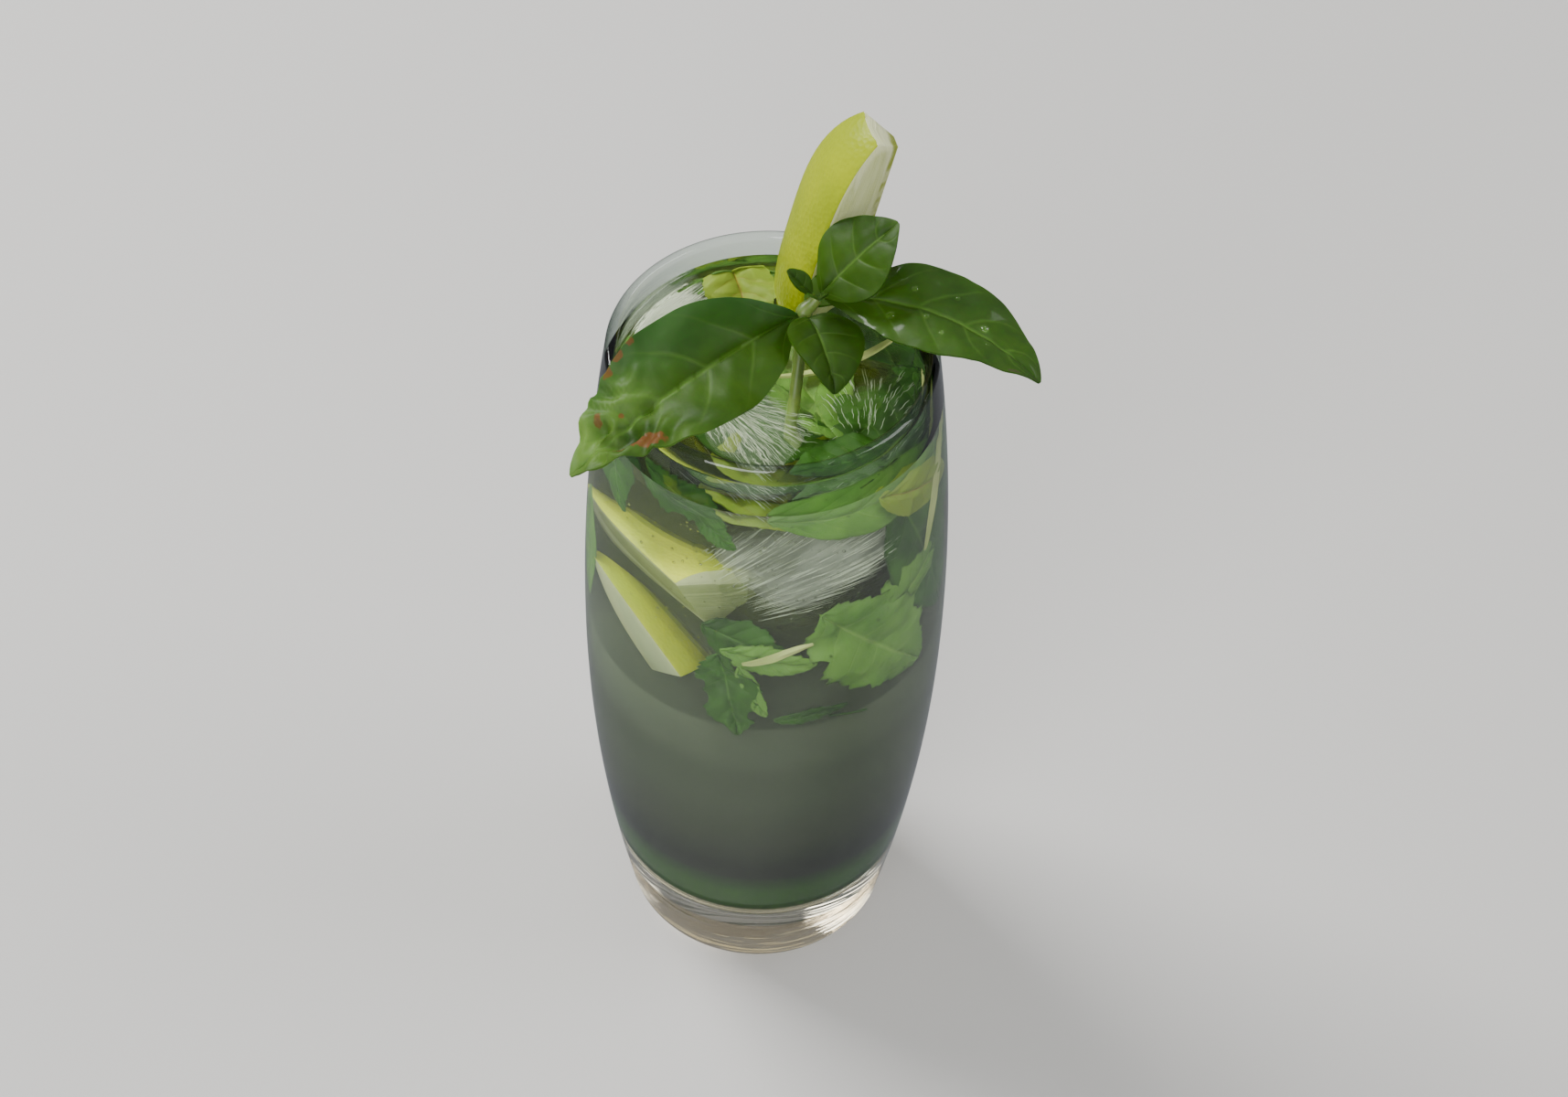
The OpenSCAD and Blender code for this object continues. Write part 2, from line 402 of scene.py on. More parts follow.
def mould_rings(node):
    """Uneven rings that the mould leaves round the thick base, seen as light and dark streaks."""
    flat = node("VectorMath MULTIPLY", node("TexCoord", output="Object"), (40.0, 40.0, 520.0))
    rings = node("TexNoise", {"Vector": flat, "Scale": 1.0, "Detail": 2.0})
    return node("Bump", {"Height": rings, "Strength": 0.5, "Distance": 0.0012})


def soda_lime_glass():
    """Machine-blown soda-lime glass, fire polished: clear. The warm light that its base gathers is painted,
    as the base's tint.

    In order: the outside, the inside below the drink's level, the thin lip and the thick base.
    """
    own = settings("glass")
    return [clear_body("soda_lime_glass_fire_polished", own.glass_tint, GLASS_IOR),
            clear_body("soda_lime_glass_wetted", own.glass_tint, GLASS_IOR, FAINT), glass_lip(own),
            clear_body("soda_lime_glass_base", own.base_warm_light, GLASS_IOR, WHITE, mould_rings)]


def glass_lip(own):
    """The empty lip: light passes a thin wall unbent, and only its edges and highlights show."""
    material, node = new_material("soda_lime_glass_thin_lip")
    facing = node("LayerWeight", {"Blend": 0.5}, output="Facing")
    wall = node("MixShader", node("Math POWER", facing, 2.0, use_clamp=True),
                node("BsdfTransparent", own.glass_tint), node("BsdfTransparent", own.lip_edge))
    gloss = node("BsdfGlossy", {"Color": WHITE, "Roughness": 0.02})
    mirror = node("Math MULTIPLY_ADD", node("Math POWER", facing, 5.0), 0.8, 0.05, use_clamp=True)
    node("OutputMaterial", clear_through(node, node("MixShader", mirror, wall, gloss)))
    return material


def soda_and_lime_juice():
    """Soda water with lime juice: its gleaming surface, and its side that wets the wall."""
    tint = settings("glass").drink_tint
    return [clear_body("soda_and_lime_juice_surface", tint, JUICE_IOR),
            clear_body("soda_and_lime_juice_at_wall", tint, JUICE_IOR)]


def juice_haze(name, opacity):
    """Pulp and juice that cloud the drink: soft, with no gloss, darker above the base."""
    material, node = new_material(name)
    own = settings("glass")
    height = node("SeparateXYZ", node("TexCoord", output="Object"), output="Z")
    share = node("Math DIVIDE", height, GLASS_HEIGHT * MM)
    colour = node("ValToRGB", share)
    # Painted light: the green ring low down is the leaves' green that the thick base shows, painted on the
    # drink
    # Share of the glass's height, and the colour there
    stops = ((0.12, own.haze_green), (0.185, own.haze_green), (0.225, own.haze_dark),
             (0.25, own.haze_dark), (0.31, own.haze_low), (0.40, own.haze_colour),
             # Painted light: the drink is lifted lighter where the leaves shade it
             (0.50, own.haze_colour), (0.57, own.haze_shaded), (0.60, own.haze_shaded),
             (0.74, own.haze_top), (0.97, own.haze_top))
    elements = colour.node.color_ramp.elements
    for element, stop in ((elements[0], stops[0]), (elements[1], stops[-1])):
        element.position, element.color = stop[0], linear(stop[1])
    for place, shade in stops[1:-1]:
        elements.new(place).color = linear(shade)
    film = None
    if opacity < 1:
        # The shells thicken with height, so that no edge shows where they leave the cloudy depth
        risen = node("Math MULTIPLY_ADD", share, 8.0, -3.92, use_clamp=True)
        film = node("Math MULTIPLY", risen, opacity)
    node("OutputMaterial", cloudy(node, colour, film))
    return material


class MOJITO_OT_glass(bpy.types.Operator):
    """Turn the barrel-shaped glass with its solid base and rounded lip"""
    bl_idname = "mojito.glass"
    bl_label = "Glass"

    def execute(self, context):
        lip_z = GLASS_HEIGHT - LIP_RADIUS
        outline = arc((outer_radius(HEEL_RADIUS) - HEEL_RADIUS, HEEL_RADIUS), HEEL_RADIUS, -90, 0, 8)
        steps = 64
        outline += [(outer_radius(z), z) for z in
                    (HEEL_RADIUS + (lip_z - HEEL_RADIUS) * i / steps for i in range(1, steps))]
        outline += arc((outer_radius(lip_z) - LIP_RADIUS, lip_z), LIP_RADIUS, 0, 180, 14)
        inside = hollow_outline(lip_z, 0.0)
        outline += list(reversed(inside))[1:]
        piece = turned("glass_body", outline)
        for face in piece.data.polygons:
            height = face.center.z / MM
            outside = math.hypot(face.center.x, face.center.y) / MM > outer_radius(height) - WALL / 2
            face.material_index = self.zone(height, outside)
        finish_piece(piece, soda_lime_glass(), math.radians(60), ["glass"])
        return {"FINISHED"}

    # How far the lip's finish reaches below the drink's level, outside and inside, in millimetres
    lip_outside, lip_inside = 5.0, 9.0

    def zone(self, height, outside):
        """Which of the glass's four finishes a face has, in the order of soda_lime_glass."""
        if height > DRINK_LEVEL - (self.lip_outside if outside else self.lip_inside):
            return 2
        if not outside and height > BASE_THICKNESS - 0.5:
            return 1
        return 3 if height < BASE_THICKNESS - 2.0 else 0


class MOJITO_OT_drink(bpy.types.Operator):
    """Turn the drink up to its level, reaching just into the wall, with its cloudy depth"""
    bl_idname = "mojito.drink"
    bl_label = "Drink"

    # In millimetres. The drink climbs the wall, in steps of distance from its edge and height
    reach_into_wall = 0.3
    climb = 0.7
    climb_steps = ((0.35, 0.42), (0.8, 0.16), (1.5, 0.03), (2.4, 0.0))
    # Cloudy shells: inset low down, inset high up, opacity, and distance of the top below the surface
    shells = ((1.0, 8.0, 0.12, 13.5), (1.2, 11.0, 0.22, 15.0), (1.4, 12.6, 0.4, 16.0),
              (0.5, 14.0, 1.0, 17.0))

    def execute(self, context):
        outline = hollow_outline(DRINK_LEVEL + self.climb, -self.reach_into_wall)
        edge = outline[-1][0]
        outline += [(edge - away, DRINK_LEVEL + rise) for away, rise in self.climb_steps]
        piece = turned("drink_body", outline)
        for face in piece.data.polygons:
            inside = math.hypot(face.center.x, face.center.y) / MM < edge - 0.2
            face.material_index = 0 if inside and face.center.z > DRINK_LEVEL * 0.9 * MM else 1
        finish_piece(piece, soda_and_lime_juice(), math.radians(50), ["drink"])
        for number, (low_inset, high_inset, opacity, below) in enumerate(self.shells):
            top = DRINK_LEVEL - below
            outline = hollow_outline(top, low_inset)
            edge = outline[-1][0]
            outline += [(edge - 1.5, top + 1.2), (edge - 4, top + 2.0), (edge * 0.4, top + 2.6)]
            haze = turned("haze_%d" % (number + 1), outline, 96)
            draw_in_haze(haze, top, low_inset, high_inset)
            finish_piece(haze, juice_haze("lime_pulp_haze_%d" % (number + 1), opacity))
        return {"FINISHED"}


# ---- Leaves -----------------------------------------------------------------


def quilting(phase, out, side):
    """Relief of a blade: it bulges between the side veins and sinks along the midrib."""
    bulge = abs(math.sin(math.pi * phase)) ** 0.7 * (1 - out ** 4) * min(1.0, out * 6)
    return bulge - 0.9 * math.exp(-(side / 0.7) ** 2)


def heading_vector(heading, pitch):
    heading, pitch = math.radians(heading), math.radians(pitch)
    return Vector((math.cos(pitch) * math.cos(heading), math.cos(pitch) * math.sin(heading),
                   math.sin(pitch)))


class LeafPlan:
    """A leaf's midrib, blade and relief. Lengths in millimetres, angles in degrees."""

    def __init__(self, start, length, width, aim, bend=(0, 0, 0), fold=8.0, fullness=0.95,
                 veins=6, quilt=0.35, wave=0.3, teeth=0.0, crumple=0.0, tip=0.3, seed=1,
                 blunt=0.85):
        self.start, self.length, self.width = Vector(start), length, width
        self.aim, self.bend, self.fold, self.fullness = aim, bend, fold, fullness
        self.veins, self.quilt, self.wave, self.teeth, self.tip = veins, quilt, wave, teeth, tip
        self.crumple, self.seed, self.blunt = crumple, seed, blunt
        self.steps = 96
        self.midrib = [self.start]
        for i in range(self.steps):
            share = (i + 0.5) / self.steps
            way = heading_vector(aim[0] + bend[0] * share, aim[1] + bend[1] * share)
            self.midrib.append(self.midrib[-1] + way * length / self.steps)

    def half_width(self, share):
        inside = math.sin(math.pi * min(max(share, 0.0), 1.0) ** self.fullness)
        return self.tip + (self.width / 2 - self.tip) * max(inside, 0.0) ** self.blunt

    def point(self, across, share):
        """Place on the blade, across from -1 to 1 and share from stem to tip."""
        index = min(int(share * self.steps), self.steps - 1)
        part = share * self.steps - index
        middle = self.midrib[index].lerp(self.midrib[index + 1], part)
        heading = self.aim[0] + self.bend[0] * share
        forward = heading_vector(heading, self.aim[1] + self.bend[1] * share)
        level = Vector((-math.sin(math.radians(heading)), math.cos(math.radians(heading)), 0))
        above = forward.cross(level)
        roll = math.radians(self.aim[2] + self.bend[2] * share)
        side = level * math.cos(roll) + above * math.sin(roll)
        up = above * math.cos(roll) - level * math.sin(roll)
        out = abs(across)
        half = self.half_width(share)
        if self.teeth:
            saw = (share * self.length / 1.6) % 1.0
            half += self.teeth * (saw - 0.5) * out ** 6 * min(1.0, half / 2)
        fold = math.radians(self.fold)
        place = middle + side * (across * half * math.cos(fold)) + up * (out * half * math.sin(fold))
        thick = min(1.0, half / (self.width * 0.25))
        phase = self.veins * (share - 0.2 * out * half / max(self.width / 2, 0.1))
        relief = self.quilt * thick * quilting(phase, out, out * half)
        spot = Vector((across * half, share * self.length, self.seed * 7.3))
        relief += self.wave * thick * noise.noise(spot * 0.16) * 2 * (0.3 + out)
        relief += self.wave * 0.35 * thick * noise.noise(spot * 0.5)
        creased = self.crumple * thick * smooth_step(share, 0.5, 0.75)
        relief += creased * (0.5 - abs(noise.noise(spot * 0.22)) * 2.6)
        return place + up * relief


def leaf(name, plan, material, thickness=0.35, replaces=(), along=72, across=28):
    """Shapes a grid into a leaf's quilted blade and gives it its thickness."""
    deselect()
    bpy.ops.mesh.primitive_grid_add(x_subdivisions=across, y_subdivisions=along, size=2,
                                    calc_uvs=True)
    piece = bpy.context.object
    for vertex in piece.data.vertices:
        vertex.co = plan.point(vertex.co.x, (vertex.co.y + 1) / 2) * MM
    piece.name = piece.data.name = name
    apply_modifier(piece, "SOLIDIFY", thickness=thickness * MM, offset=0.0)
    finish_piece(piece, material, math.radians(70), replaces)
    return piece


def leaf_material(name, blade, deep, vein, veins, gloss=0.5, vein_strength=0.62, wet=0.0,
                  pale="", sheen="", bruise="", bruises=(), speckle=""):
    """A leaf's blade: satin skin with a pale midrib, side veins and softer patches between them.

    Bruises are (across, share of length, size) on the leaf's own map.
    """
    material, node = new_material(name)
    uv, place = node("TexCoord", output="UV"), node("TexCoord", output="Object")
    parts = node("SeparateXYZ", uv).node.outputs
    out = node("Math ABSOLUTE", node("Math MULTIPLY_ADD", parts["X"], 2.0, -1.0))
    # Side veins leave the midrib and curve towards the tip
    curve = node("Math MULTIPLY", out, node("Math MULTIPLY_ADD", out, 0.08, 0.14))
    phase = node("Math MULTIPLY", node("Math SUBTRACT", parts["Y"], curve), float(veins))
    ridge = node("Math ABSOLUTE", node("Math SINE", node("Math MULTIPLY", phase, math.pi)))
    side_line = node("Math SUBTRACT", 1.0, node("Math MULTIPLY", ridge, 4.5), use_clamp=True)
    fade = node("Math SUBTRACT", 1.0, node("Math POWER", out, 2.0), use_clamp=True)
    side_line = node("Math MULTIPLY", side_line, fade)
    mid_line = node("Math SUBTRACT", 1.0, node("Math MULTIPLY", out, 16.0), use_clamp=True)
    lines = node("Math MAXIMUM", node("Math MULTIPLY", side_line, 0.45), mid_line)
    patches = node("TexNoise", {"Vector": place, "Scale": 90.0, "Detail": 3.0, "Roughness": 0.55})
    fine = node("TexNoise", {"Vector": place, "Scale": 900.0, "Detail": 2.0})
    coats = [(node("Math MULTIPLY_ADD", patches, 2.4, -0.7, use_clamp=True), blade)]
    # Painted sheen: a bluer band along one edge of the blade
    if sheen:
        band = node("Math SUBTRACT", 0.45, parts["X"], use_clamp=True)
        coats.append((node("Math MULTIPLY", band, 1.6), sheen))
    if pale:
        outer = node("Math MULTIPLY_ADD", parts["Y"], 3.2, -1.7, use_clamp=True)
        patch = node("Math MULTIPLY_ADD", patches, 3.0, -1.05, use_clamp=True)
        coats.append((node("Math MULTIPLY", node("Math MULTIPLY", outer, patch), 0.8), pale))
    coats.append((node("Math MULTIPLY", lines, vein_strength), vein))
    if speckle:
        flecks = node("TexNoise", {"Vector": place, "Scale": 420.0, "Detail": 4.0, "Roughness": 0.7})
        fleck = node("Math MULTIPLY", node("Math SUBTRACT", flecks, 0.62), 12.0, use_clamp=True)
        rim = node("Math MULTIPLY_ADD", out, 10.0, -9.2, use_clamp=True)
        fleck, rim = node("Math MULTIPLY", fleck, 0.7), node("Math MULTIPLY", rim, 0.7)
        coats.append((node("Math MAXIMUM", fleck, rim), speckle))
    for across, share, size in bruises:
        reach = node("VectorMath SUBTRACT", uv, (across, share, 0.0))
        reach = node("VectorMath MULTIPLY", reach, (1.0, 2.0, 0.0))
        reach = node("VectorMath LENGTH", reach, output="Value")
        rough = node("Math MULTIPLY_ADD", fine, size * 1.4, -size * 0.7)
        rough = node("Math ADD", rough, node("Math MULTIPLY_ADD", patches, size * 2.0, -size))
        stain = node("Math SUBTRACT", size, node("Math ADD", reach, rough))
        stain = node("Math MULTIPLY", stain, 4.0 / size, use_clamp=True)
        coats.append((node("Math MULTIPLY", stain, 0.75), bruise))
    veined = node("Bump", {"Height": lines, "Strength": 0.35, "Distance": 0.0003}, invert=True)
    bump = node("Bump", {"Height": fine, "Strength": 0.12, "Distance": 0.0003, "Normal": veined})
    node("OutputMaterial", node("BsdfPrincipled", {
        "Base Color": painted(node, deep, *coats), "Roughness": gloss, "Specular IOR Level": 0.17,
        "Normal": bump, "Subsurface Weight": 0.15, "Subsurface Scale": 0.002,
        "Subsurface Radius": (0.4, 1.0, 0.2), "Coat Weight": wet, "Coat Roughness": 0.12}))
    return material


JOINT_BELOW_CROWN = Vector((2.1, 1.2, 2.1))
STEM_RADIUS = 1.2
JOINT_RADIUS = STEM_RADIUS + 0.4
LEAF_CLEARANCE = 0.1


def joint_place():
    """Centre of the stem's joint, worked out from the stem's box."""
    low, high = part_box("stem")
    crown = Vector((high[0] / MM - STEM_RADIUS, high[1] / MM - STEM_RADIUS, high[2] / MM - STEM_RADIUS))
    return crown - JOINT_BELOW_CROWN, crown


class MOJITO_OT_basil(bpy.types.Operator):
    """Grow the basil sprig: its stem, five leaves and two bud leaves"""
    bl_idname = "mojito.basil"
    bl_label = "Basil sprig"

    def execute(self, context):
        own = settings("leaf")
        joint, crown = joint_place()

        def blade(name, **options):
            return leaf_material("basil_blade_" + name, own.basil_colour, own.basil_deep,
                                 own.basil_vein, **options)

        sprig = (
            ("leaf_left", joint, JOINT_RADIUS, (50.5, 24), (224, 9, -44), (-10, -40, 62), 16, 1.0,
             {"veins": 5, "quilt": 0.3, "wave": 0.6, "crumple": 1.6},
             {"veins": 5, "pale": own.basil_pale, "sheen": own.basil_sheen, "bruise": own.bruise_colour,
              "bruises": ((0.85, 0.725, 0.085), (0.83, 0.80, 0.07), (0.70, 0.83, 0.05), (0.22, 0.81, 0.05),
                          (0.0, 0.62, 0.045), (0.0, 0.56, 0.035), (0.02, 0.68, 0.04), (0.36, 0.74, 0.03))}),
            ("leaf_right", crown, STEM_RADIUS, (42, 19.5), (-3, 12, 24), (-42, -30, -50), 5, 1.08,
             {"veins": 5, "quilt": 0.35, "wave": 0.5},
             {"veins": 5, "wet": 0.25, "bruise": "#3c3a24", "bruises": ((0.06, 0.90, 0.05),)}),
            ("leaf_back", crown, STEM_RADIUS, (19, 15.5), (14, 56, 20), (14, -26, -14), 4, 0.95,
             {"veins": 4, "quilt": 0.3, "wave": 0.4}, {"veins": 4}),
            ("leaf_front", joint, JOINT_RADIUS, (15, 15), (-62, 2, -10), (-14, -52, -20), 14, 0.74,
             {"veins": 4, "quilt": 0.25, "wave": 0.4}, {"veins": 4}),
            ("leaf_rear", joint, JOINT_RADIUS, (16, 8), (66, -10, 4), (-70, 20, 4), 6, 0.95,
             {"veins": 4, "quilt": 0.15, "wave": 0.2}, {"veins": 4}),
            ("bud_left", crown, STEM_RADIUS, (6, 4), (160, 40, 0), (-10, -6, 0), 20, 0.95,
             {"veins": 3, "quilt": 0.1, "wave": 0.1}, {"veins": 3}),
            ("bud_right", crown, STEM_RADIUS, (6, 4), (270, 50, 0), (10, -14, 0), 20, 0.95,
             {"veins": 3, "quilt": 0.1, "wave": 0.1}, {"veins": 3}),
        )
        for number, (node, hub, radius, size, aim, bend, fold, fullness, shape, look) in enumerate(sprig):
            start = hub + heading_vector(aim[0], aim[1]) * (radius + LEAF_CLEARANCE)
            plan = LeafPlan(start, size[0], size[1], aim, bend, fold, fullness, seed=number + 1, **shape)
            leaf("basil_" + node, plan, blade(node, **look), replaces=[node])
            if node == "leaf_right":
                self.drops(plan)
        self.stem(joint, crown)
        return {"FINISHED"}

    # Across the blade, share of its length, radius in millimetres
    wet_places = ((-0.42, 0.3, 0.75), (-0.2, 0.45, 0.5), (0.35, 0.36, 0.6), (0.5, 0.52, 0.4),
                  (-0.5, 0.55, 0.45), (0.15, 0.68, 0.65), (-0.3, 0.74, 0.35))

    def drops(self, plan):
        """Flat water drops that lie on a leaf."""
        deselect()
        bpy.ops.mesh.primitive_uv_sphere_add(segments=20, ring_count=12, radius=MM)
        places = []
        for across, share, radius in self.wet_places:
            at = plan.point(across, share)
            along = plan.point(across, share + 0.02) - at
            aside = plan.point(across - 0.05, share) - at
            up = along.cross(aside).normalized()
            up = up if up.z > 0 else -up
            places.append(placed(up, along, at + up * (radius * 0.3 + 0.15))
                          @ Matrix.Diagonal((radius, radius, radius * 0.5, 1)))
        piece = copies("water_drops", bpy.context.object, places)
        finish_piece(piece, clear_body("water_drops_clear", "#ffffff", WATER_IOR))

    def stem(self, joint, crown):
        """A round stem with its swollen joint."""
        entry = joint + Vector((-1.1, -7.7, DRINK_LEVEL - joint.z))
        down = (entry - joint).normalized()
        foot = entry + down * 24
        route = [(foot, 1.1), (foot.lerp(entry, 0.5), 1.15), (entry, 1.1),
                 (entry.lerp(joint, 0.5), 1.05), (joint - (joint - entry).normalized() * 2.2, 1.15),
                 (joint, 1.55), (joint.lerp(crown, 0.6), 1.15), (crown, 1.0)]
        deselect()
        bpy.ops.curve.primitive_bezier_curve_add()
        curve = bpy.context.object
        spline = curve.data.splines[0]
        spline.bezier_points.add(len(route) - 2)
        for point, (place, radius) in zip(spline.bezier_points, route):
            point.co = place * MM
            point.radius = radius
            point.handle_left_type = point.handle_right_type = "AUTO"
        curve.data.bevel_depth = MM
        curve.data.bevel_resolution = 5
        curve.data.resolution_u = 10
        curve.data.use_fill_caps = True
        bpy.ops.object.convert(target="MESH")
        piece = bpy.context.object
        piece.name = piece.data.name = "basil_stem"
        finish_piece(piece, stem_material(), replaces=["stem"])


def stem_material():
    """Basil stem: pale green, blotched with the blade's green and faintly bumped."""
    material, node = new_material("basil_stem_fresh")
    own = settings("leaf")
    patches = node("TexNoise", {"Vector": node("TexCoord", output="Object"), "Scale": 300.0})
    bump = node("Bump", {"Height": patches, "Strength": 0.3, "Distance": 0.0004})
    node("OutputMaterial", node("BsdfPrincipled", {
        "Base Color": painted(node, own.stem_colour, (patches, own.basil_colour)),
        "Roughness": 0.4, "Normal": bump, "Subsurface Weight": 0.2, "Subsurface Scale": 0.002}))
    return material


# ---- Lime -------------------------------------------------------------------


# In millimetres: distance from the core at which the stem end's trim is measured, distance between
# the rind's pits, and length and width of a juice sac
STEM_END_MIDDLE = 6.5
PIT_SPACING = 0.9
SAC_LENGTH, SAC_WIDTH = 3.2, 1.1


class LimeCut:
    """A wedge cut from a whole lime. Lengths in millimetres, its core along Z, its rind on X."""

    def __init__(self, length, radius, angle, core_trim=2.5, low_cut=0.0, high_cut=0.0,
                 high_slope=0.0, bluntness=3.2):
        self.length, self.radius, self.angle = length, radius, angle
        self.core_trim, self.low_cut, self.high_cut = core_trim, low_cut, high_cut
        self.high_slope, self.bluntness = high_slope, bluntness

    def profile(self, along):
        return self.radius * math.sqrt(max(0.0, 1 - abs(2 * along - 1) ** self.bluntness))


def lime_wedge(name, cut, matrix, steps=40, turns=18):
    """Spins half a lime's section through the wedge's angle, then cuts its core and ends."""
    deselect()
    bpy.ops.mesh.primitive_circle_add(vertices=steps + 1, radius=0.01, fill_type="NGON")
    piece = bpy.context.object
    half = math.radians(cut.angle / 2)
    for i, vertex in enumerate(piece.data.vertices):
        along = (1 - math.cos(math.pi * i / steps)) / 2
        radius = cut.profile(along)
        vertex.co = Vector((radius * math.cos(half), radius * math.sin(half), cut.length * along)) * MM
    edit_all()
    bpy.ops.mesh.spin(steps=turns, angle=2 * half, center=(0, 0, 0), axis=(0, 0, 1))
    bpy.ops.mesh.select_all(action="SELECT")
    bpy.ops.mesh.remove_doubles(threshold=1e-6)
    cuts = [((cut.core_trim * MM, 0, 0), (1, 0, 0))]
    if cut.low_cut:
        cuts.append(((0, 0, cut.low_cut * MM), (0, 0, 1)))
    if cut.high_cut:
        slope = math.radians(cut.high_slope)
        cuts.append(((STEM_END_MIDDLE * MM, 0, (cut.length - cut.high_cut) * MM),
                     (math.sin(slope), 0, -math.cos(slope))))
    for place, normal in cuts:
        bpy.ops.mesh.select_all(action="SELECT")
        bpy.ops.mesh.bisect(plane_co=place, plane_no=normal, use_fill=True, clear_inner=True)
    bpy.ops.mesh.select_all(action="SELECT")
    bpy.ops.mesh.normals_make_consistent(inside=False)
    bpy.ops.object.mode_set(mode="OBJECT")
    if matrix.determinant() < 0:
        raise RuntimeError("a lime wedge's place mirrors it")
    apply_modifier(piece, "BEVEL", width=0.35 * MM, segments=2, limit_method="ANGLE",
                   angle_limit=math.radians(38))
    colour_lime(piece, cut)
    bake_place(piece, matrix)
    piece.name = piece.data.name = name
    return piece


def colour_lime(piece, cut):
    """Marks rind and cut faces, and maps each cut face by its depth under the rind."""
    data = piece.data
    uv = data.uv_layers.new(name="cut")
    for face in data.polygons:
        centre = face.center / MM
        depth = cut.profile(centre.z / cut.length) - math.hypot(centre.x, centre.y)
        outwards = Vector((centre.x, centre.y, 0)).normalized()
        rind = depth < 0.25 and face.normal.dot(outwards) > 0.1
        rind = rind or (depth < 0.5 and abs(face.normal.z) > 0.4 and centre.z / cut.length > 0.9
                        and not cut.high_cut)
        face.material_index = 0 if rind else 1
        for corner in face.loop_indices:
            place = data.vertices[data.loops[corner].vertex_index].co / MM
            radius = math.hypot(place.x, place.y)
            uv.data[corner].uv = (radius / cut.radius, place.z / cut.length)


def rind_material(name, light, deep, wet):
    """Lime rind: waxy, with oil glands as fine pits just under a millimetre apart."""
    material, node = new_material(name)
    place = node("TexCoord", output="Object")
    pits = node("TexVoronoi", {"Vector": place, "Scale": 1 / (PIT_SPACING * MM), "Randomness": 0.9})
    patches = node("TexNoise", {"Vector": place, "Scale": 90.0, "Detail": 3.0})
    tone = node("Math MULTIPLY_ADD", patches, 1.6, -0.3, use_clamp=True)
    pore = node("Math SUBTRACT", 1.0, node("Math MULTIPLY", pits, 3.0), use_clamp=True)
    colour = painted(node, deep, (tone, light), (node("Math MULTIPLY", pore, 0.25), deep))
    bump = node("Bump", {"Height": pits, "Strength": 0.35, "Distance": 0.0003})
    node("OutputMaterial", node("BsdfPrincipled", {
        "Base Color": colour, "Roughness": 0.42, "Normal": bump, "Specular IOR Level": 0.18,
        "Subsurface Weight": 0.15, "Subsurface Scale": 0.003, "Subsurface Radius": (1.0, 1.0, 0.3),
        "Coat Weight": wet, "Coat Roughness": 0.15}))
    return material


def flesh_material(name, cut, flesh, pith, end=""):
    """Cut lime: a white pith edge, then pale juice sacs that lie out from the core."""
    material, node = new_material(name)
    uv, place = node("TexCoord", output="UV"), node("TexCoord", output="Object")
    parts = node("SeparateXYZ", uv).node.outputs
    # How deep a place of the cut face lies under the rind, in millimetres
    swing = node("Math ABSOLUTE", node("Math MULTIPLY_ADD", parts["Y"], 2.0, -1.0))
    swing = node("Math POWER", swing, cut.bluntness)
    edge = node("Math SQRT", node("Math SUBTRACT", 1.0, swing, use_clamp=True))
    depth = node("Math MULTIPLY", node("Math SUBTRACT", edge, parts["X"]), cut.radius)
    ragged = node("TexNoise", {"Vector": place, "Scale": 350.0, "Detail": 3.0})
    depth = node("Math ADD", depth, node("Math MULTIPLY_ADD", ragged, 1.0, -0.5))
    # Juice sacs, longer outwards than across
    stretched = node("CombineXYZ", node("Math MULTIPLY", parts["X"], cut.radius / SAC_LENGTH),
                     node("Math MULTIPLY", parts["Y"], cut.length / SAC_WIDTH))
    sacs = node("TexVoronoi", {"Vector": stretched, "Scale": 1.0, "Randomness": 1.0},
                feature="DISTANCE_TO_EDGE")
    wall = node("Math SUBTRACT", 1.0, node("Math MULTIPLY", sacs, 7.0), use_clamp=True)
    tone = node("Math MULTIPLY_ADD", ragged, 1.4, -0.35, use_clamp=True)
    under = node("Math MULTIPLY", node("Math SUBTRACT", depth, 0.9), 1.3)
    colour = painted(node, flesh, (node("Math MULTIPLY", wall, 0.45), pith),
                     (node("Math MULTIPLY", tone, 0.25), pith),
                     (node("Math SUBTRACT", 1.0, under, use_clamp=True), pith))
    if end:
        scar = node("Math MULTIPLY", node("Math SUBTRACT", parts["Y"], 0.885), 40.0, use_clamp=True)
        rough = node("Math MULTIPLY_ADD", ragged, 5.0, -2.0, use_clamp=True)
        rough = painted(node, end, (node("Math MULTIPLY", rough, 0.55), pith))
        colour = painted(node, colour, (scar, rough))
    bump = node("Bump", {"Height": sacs, "Strength": 0.5, "Distance": 0.0005})
    node("OutputMaterial", node("BsdfPrincipled", {
        "Base Color": colour, "Roughness": 0.3, "Normal": bump, "Subsurface Weight": 0.35,
        "Subsurface Scale": 0.004, "Subsurface Radius": (1.0, 1.0, 0.6), "Coat Weight": 0.2,
        "Coat Roughness": 0.1}))
    return material


